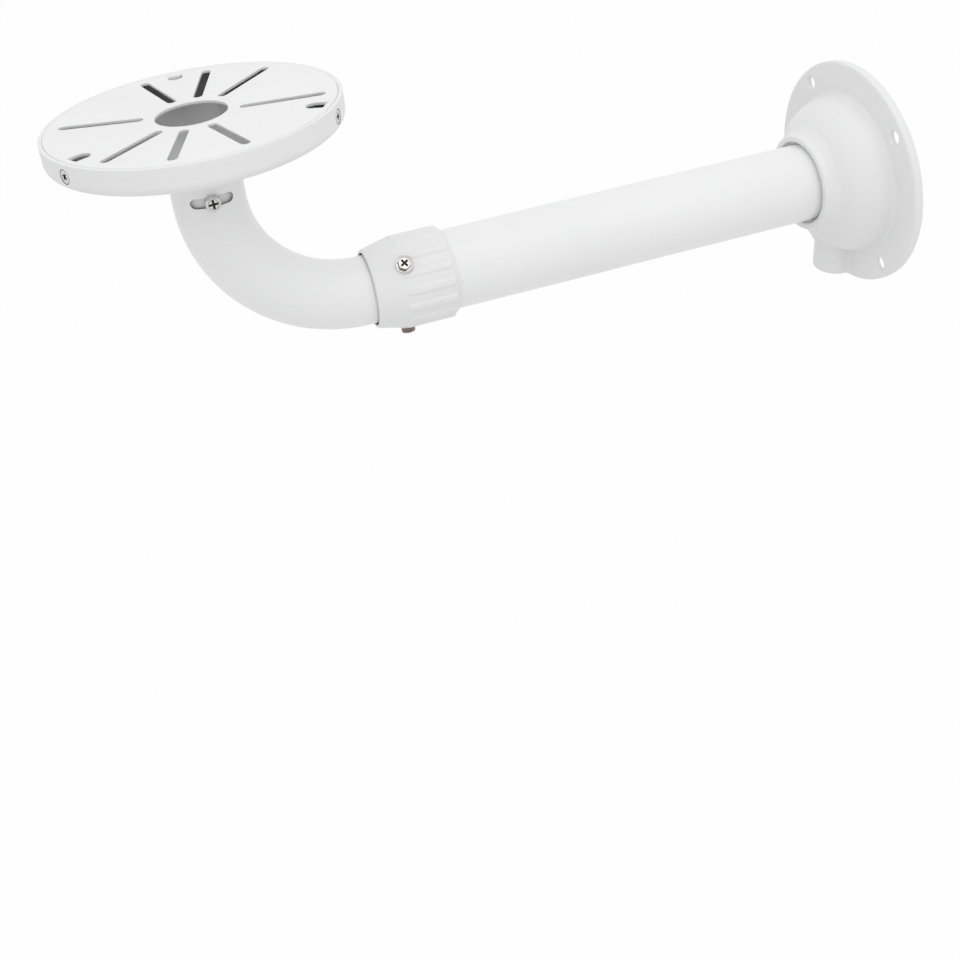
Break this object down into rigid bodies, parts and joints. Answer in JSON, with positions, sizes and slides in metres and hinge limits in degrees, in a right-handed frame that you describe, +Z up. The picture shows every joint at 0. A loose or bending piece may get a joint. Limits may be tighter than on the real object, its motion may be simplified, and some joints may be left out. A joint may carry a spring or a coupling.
{
  "type": "ptz camera bracket",
  "caption": "Wall bracket for a dome camera: round flange, telescoping arm with a screwed collar, bent tube and a dish with a slotted mounting plate.",
  "frame": {"origin": "centre of the wall flange's back face", "axes": "+X out of the back face into the wall, so the arm runs along -X; +Z up"},
  "size_m": [0.446, 0.152, 0.185],
  "materials": {
    "white_coat": "satin",
    "screw_steel": "satin",
    "guide_plastic": "matte"
  },
  "bodies": {
    "wall_arm": {"wall_flange": "white_coat", "arm_tube": "white_coat", "collar": "white_coat", "collar_screw_1": "screw_steel", "collar_screw_2": "screw_steel", "collar_screw_3": "screw_steel"},
    "guide": {"guide_ring": "guide_plastic"},
    "elbow": {"elbow_tube": "white_coat"},
    "head": {"cup": "white_coat", "top_plate": "white_coat", "rim_screw_1": "screw_steel", "rim_screw_2": "screw_steel", "rim_screw_3": "screw_steel", "swivel_screw_1": "screw_steel", "swivel_screw_2": "screw_steel"}
  },
  "joints": [
    {"name": "telescope", "type": "slide", "parent": "wall_arm", "child": "guide", "axis": [-1, 0, 0], "range_m": [0, 0.12]},
    {"name": "elbow_roll", "type": "hinge", "parent": "guide", "child": "elbow", "pos_m": [-0.136, 0, 0], "axis": [1, 0, 0], "range_deg": [-90, 90]},
    {"name": "dish_swivel", "type": "hinge", "parent": "elbow", "child": "head", "pos_m": [-0.37, 0, 0.0775], "axis": [0, 0, 1], "range_deg": [-28, 28]}
  ]
}
